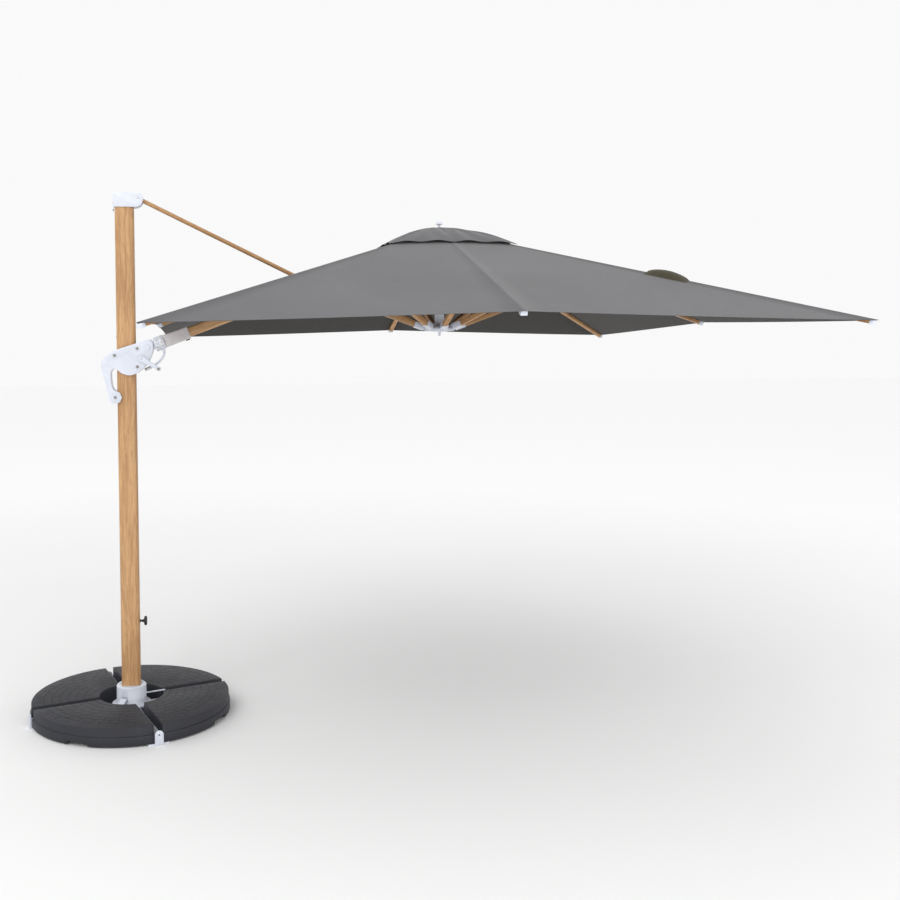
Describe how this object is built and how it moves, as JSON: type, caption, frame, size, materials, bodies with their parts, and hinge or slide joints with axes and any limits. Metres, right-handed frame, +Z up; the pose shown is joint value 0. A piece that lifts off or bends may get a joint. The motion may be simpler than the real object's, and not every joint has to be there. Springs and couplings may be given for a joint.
{
  "type": "cantilever parasol",
  "caption": "Offset square parasol: timber-toned mast and boom on a swivelling cross base with ballast plates, tie rod, crank carriage and vented grey canopy on folding arms.",
  "frame": {"origin": "on the floor, on the mast's axis", "axes": "+Z up the mast, +X from the mast towards the canopy's middle along the boom, +Y to the rear, away from the crank's side"},
  "size_m": [3.6625, 3.0056, 2.694],
  "materials": {
    "white_paint": "satin powder coat",
    "black_plastic": "matte, lightly textured",
    "white_plastic": "semi-gloss moulded",
    "wood_tone": "fine straight grain, satin lacquer",
    "steel": "brushed",
    "sleeve_plastic": "satin moulded",
    "cord_fibre": "braided",
    "grey_fabric": "woven, matte, dark underside"
  },
  "bodies": {
    "base": {"cross_base": "white_paint", "ballast_plate_1": "black_plastic", "ballast_plate_2": "black_plastic", "ballast_plate_3": "black_plastic", "ballast_plate_4": "black_plastic", "swivel_socket": "white_plastic"},
    "pedal": {"swivel_pedal": "white_plastic"},
    "lock_rod": {"swivel_lock_rod": "white_paint"},
    "mast": {"mast_tube": "wood_tone", "mast_foot": "white_plastic", "mast_cap": "white_plastic", "tie_pin": "steel"},
    "clamp_knob": {"clamp_knob": "black_plastic"},
    "tie": {"tie_rod": "wood_tone"},
    "carriage": {"cheek_front": "white_plastic", "cheek_rear": "white_plastic", "axle_upper_left": "steel", "axle_upper_right": "steel", "axle_lower_right": "steel", "axle_handle": "steel", "boom_pivot_pin": "white_plastic"},
    "roller_upper_left": {"roller_upper_left": "black_plastic"},
    "roller_upper_right": {"roller_upper_right": "black_plastic"},
    "roller_lower_right": {"roller_lower_right": "black_plastic"},
    "roller_handle": {"roller_handle": "black_plastic"},
    "crank": {"crank_shaft": "steel", "crank_arm": "white_plastic"},
    "crank_knob": {"crank_knob": "white_plastic"},
    "yoke": {"boom_yoke": "white_plastic", "tie_ring": "white_plastic"},
    "boom": {"boom_tube": "wood_tone", "boom_sleeve": "sleeve_plastic", "tilt_collar": "white_plastic", "crown_hub": "white_plastic", "hub_wire": "steel", "finial": "white_plastic", "canopy": "grey_fabric", "vent_cap": "grey_fabric", "lift_cord": "cord_fibre"},
    "tilt_lever": {"tilt_lever": "steel"},
    "rib_000": {"rib_000": "wood_tone"},
    "stretcher_000": {"stretcher_000": "wood_tone"},
    "rib_045": {"rib_045": "wood_tone"},
    "stretcher_045": {"stretcher_045": "wood_tone"},
    "rib_090": {"rib_090": "wood_tone"},
    "stretcher_090": {"stretcher_090": "wood_tone"},
    "rib_135": {"rib_135": "wood_tone"},
    "stretcher_135": {"stretcher_135": "wood_tone"},
    "rib_180": {"rib_180_front": "wood_tone", "rib_180_rear": "wood_tone"},
    "stretcher_180": {"stretcher_180": "wood_tone"},
    "rib_225": {"rib_225": "wood_tone"},
    "stretcher_225": {"stretcher_225": "wood_tone"},
    "rib_270": {"rib_270": "wood_tone"},
    "stretcher_270": {"stretcher_270": "wood_tone"},
    "rib_315": {"rib_315": "wood_tone"},
    "stretcher_315": {"stretcher_315": "wood_tone"},
    "runner": {"runner": "white_plastic", "centre_tube": "white_plastic"}
  },
  "joints": [
    {"name": "mast_swivel", "type": "hinge", "parent": "base", "child": "mast", "pos_m": [0, 0, 0.0663], "axis": [0, 0, 1], "continuous": true},
    {"name": "swivel_pedal", "type": "hinge", "parent": "base", "child": "pedal", "pos_m": [-0.03296, -0.07069, 0.0903], "axis": [0.9063, -0.4226, 0], "range_deg": [0, 8], "stiffness_Nm_per_rad": 1.5, "springref_deg": -8.59},
    {"name": "lock_rod_slide", "type": "slide", "parent": "base", "child": "lock_rod", "axis": [0.9489, 0.3156, 0], "range_m": [0, 0.012]},
    {"name": "clamp_knob_turn", "type": "hinge", "parent": "mast", "child": "clamp_knob", "pos_m": [0, 0, 0.478], "axis": [1, 0, 0], "continuous": true},
    {"name": "carriage_slide", "type": "slide", "parent": "mast", "child": "carriage", "axis": [0, 0, 1], "range_m": [-0.4, 0]},
    {"name": "boom_pitch", "type": "hinge", "parent": "carriage", "child": "yoke", "pos_m": [0.11, 0, 1.902], "axis": [0, 1, 0], "range_deg": [-16.24, 0]},
    {"name": "tie_swing", "type": "hinge", "parent": "mast", "child": "tie", "pos_m": [0.073, 0, 2.666], "axis": [0, 1, 0], "range_deg": [0, 14.84]},
    {"name": "roller_upper_left_roll", "type": "hinge", "parent": "carriage", "child": "roller_upper_left", "pos_m": [-0.057, 0, 1.862], "axis": [0, 1, 0], "range_deg": [-2795.4, 0]},
    {"name": "roller_upper_right_roll", "type": "hinge", "parent": "carriage", "child": "roller_upper_right", "pos_m": [0.057, 0, 1.897], "axis": [0, 1, 0], "range_deg": [0, 2795.4]},
    {"name": "roller_lower_right_roll", "type": "hinge", "parent": "carriage", "child": "roller_lower_right", "pos_m": [0.057, 0, 1.803], "axis": [0, 1, 0], "range_deg": [0, 2795.4]},
    {"name": "roller_handle_roll", "type": "hinge", "parent": "carriage", "child": "roller_handle", "pos_m": [-0.057, 0, 1.647], "axis": [0, 1, 0], "range_deg": [-2795.4, 0]},
    {"name": "boom_tilt", "type": "hinge", "parent": "yoke", "child": "boom", "pos_m": [0.11, 0, 1.902], "axis": [0.9367, 0, 0.3502], "range_deg": [-15, 15]},
    {"name": "tilt_lever_turn", "type": "hinge", "parent": "boom", "child": "tilt_lever", "pos_m": [0.1912, 0, 1.8848], "axis": [0, 1, 0], "range_deg": [-45, 0]},
    {"name": "canopy_fold", "type": "hinge", "parent": "boom", "child": "rib_000", "pos_m": [1.72, 0, 2.488], "axis": [0, 1, 0], "range_deg": [0, 61], "deforming": ["lift_cord"]},
    {"name": "stretcher_000_fold", "type": "hinge", "parent": "rib_000", "child": "stretcher_000", "pos_m": [2.40742, 0, 2.24], "axis": [0, 1, 0], "range_deg": [-122.02, 0]},
    {"name": "rib_045_fold", "type": "hinge", "parent": "boom", "child": "rib_045", "pos_m": [1.6995, 0.0495, 2.488], "axis": [-0.7071, 0.7071, 0], "range_deg": [0, 58.79]},
    {"name": "stretcher_045_fold", "type": "hinge", "parent": "rib_045", "child": "stretcher_045", "pos_m": [2.19715, 0.54715, 2.29121], "axis": [-0.7071, 0.7071, 0], "range_deg": [-110.87, 0]},
    {"name": "rib_090_fold", "type": "hinge", "parent": "boom", "child": "rib_090", "pos_m": [1.65, 0.07, 2.488], "axis": [-1, 0, 0], "range_deg": [0, 61.01]},
    {"name": "stretcher_090_fold", "type": "hinge", "parent": "rib_090", "child": "stretcher_090", "pos_m": [1.65, 0.75742, 2.24], "axis": [-1, 0, 0], "range_deg": [-122.02, 0]},
    {"name": "rib_135_fold", "type": "hinge", "parent": "boom", "child": "rib_135", "pos_m": [1.6005, 0.0495, 2.488], "axis": [-0.7071, -0.7071, 0], "range_deg": [0, 58.79]},
    {"name": "stretcher_135_fold", "type": "hinge", "parent": "rib_135", "child": "stretcher_135", "pos_m": [1.10285, 0.54715, 2.29121], "axis": [-0.7071, -0.7071, 0], "range_deg": [-110.87, 0]},
    {"name": "rib_180_fold", "type": "hinge", "parent": "boom", "child": "rib_180", "pos_m": [1.57, 0, 2.48326], "axis": [0, -1, 0], "range_deg": [0, 63.12]},
    {"name": "stretcher_180_fold", "type": "hinge", "parent": "rib_180", "child": "stretcher_180", "pos_m": [0.89258, 0, 2.24], "axis": [0, -1, 0], "range_deg": [-125.47, 0]},
    {"name": "rib_225_fold", "type": "hinge", "parent": "boom", "child": "rib_225", "pos_m": [1.6005, -0.0495, 2.488], "axis": [0.7071, -0.7071, 0], "range_deg": [0, 58.79]},
    {"name": "stretcher_225_fold", "type": "hinge", "parent": "rib_225", "child": "stretcher_225", "pos_m": [1.10285, -0.54715, 2.29121], "axis": [0.7071, -0.7071, 0], "range_deg": [-110.87, 0]},
    {"name": "rib_270_fold", "type": "hinge", "parent": "boom", "child": "rib_270", "pos_m": [1.65, -0.07, 2.488], "axis": [1, 0, 0], "range_deg": [0, 61.01]},
    {"name": "stretcher_270_fold", "type": "hinge", "parent": "rib_270", "child": "stretcher_270", "pos_m": [1.65, -0.75742, 2.24], "axis": [1, 0, 0], "range_deg": [-122.02, 0]},
    {"name": "rib_315_fold", "type": "hinge", "parent": "boom", "child": "rib_315", "pos_m": [1.6995, -0.0495, 2.488], "axis": [0.7071, 0.7071, 0], "range_deg": [0, 58.79]},
    {"name": "stretcher_315_fold", "type": "hinge", "parent": "rib_315", "child": "stretcher_315", "pos_m": [2.19715, -0.54715, 2.29121], "axis": [0.7071, 0.7071, 0], "range_deg": [-110.87, 0]},
    {"name": "runner_level", "type": "hinge", "parent": "stretcher_000", "child": "runner", "pos_m": [1.72, 0, 1.992], "axis": [0, 1, 0], "range_deg": [0, 61]},
    {"name": "crank_turn", "type": "hinge", "parent": "carriage", "child": "crank", "pos_m": [0.078, 0, 1.844], "axis": [0, 1, 0], "range_deg": [-2887, 0]},
    {"name": "crank_knob_spin", "type": "hinge", "parent": "crank", "child": "crank_knob", "pos_m": [0.16675, 0, 1.79172], "axis": [0, 1, 0], "continuous": true}
  ],
  "couplings": [
    {"joint": "boom_pitch", "follows": "carriage_slide", "rad_per_m": 0.70186},
    {"joint": "tie_swing", "follows": "carriage_slide", "rad_per_m": -0.64699},
    {"joint": "roller_upper_left_roll", "follows": "carriage_slide", "rad_per_m": 121.95},
    {"joint": "roller_upper_right_roll", "follows": "carriage_slide", "rad_per_m": -121.95},
    {"joint": "roller_lower_right_roll", "follows": "carriage_slide", "rad_per_m": -121.95},
    {"joint": "roller_handle_roll", "follows": "carriage_slide", "rad_per_m": 121.95},
    {"joint": "stretcher_000_fold", "follows": "canopy_fold", "ratio": -2},
    {"joint": "rib_045_fold", "follows": "canopy_fold", "ratio": 0.96354},
    {"joint": "stretcher_045_fold", "follows": "canopy_fold", "ratio": -1.8172},
    {"joint": "rib_090_fold", "follows": "canopy_fold", "ratio": 1},
    {"joint": "stretcher_090_fold", "follows": "canopy_fold", "ratio": -2},
    {"joint": "rib_135_fold", "follows": "canopy_fold", "ratio": 0.96354},
    {"joint": "stretcher_135_fold", "follows": "canopy_fold", "ratio": -1.8172},
    {"joint": "rib_180_fold", "follows": "canopy_fold", "ratio": 1.0346},
    {"joint": "stretcher_180_fold", "follows": "canopy_fold", "ratio": -2.0566},
    {"joint": "rib_225_fold", "follows": "canopy_fold", "ratio": 0.96354},
    {"joint": "stretcher_225_fold", "follows": "canopy_fold", "ratio": -1.8172},
    {"joint": "rib_270_fold", "follows": "canopy_fold", "ratio": 1},
    {"joint": "stretcher_270_fold", "follows": "canopy_fold", "ratio": -2},
    {"joint": "rib_315_fold", "follows": "canopy_fold", "ratio": 0.96354},
    {"joint": "stretcher_315_fold", "follows": "canopy_fold", "ratio": -1.8172},
    {"joint": "runner_level", "follows": "canopy_fold", "ratio": 1},
    {"joint": "crank_turn", "follows": "canopy_fold", "ratio": -47.31}
  ]
}
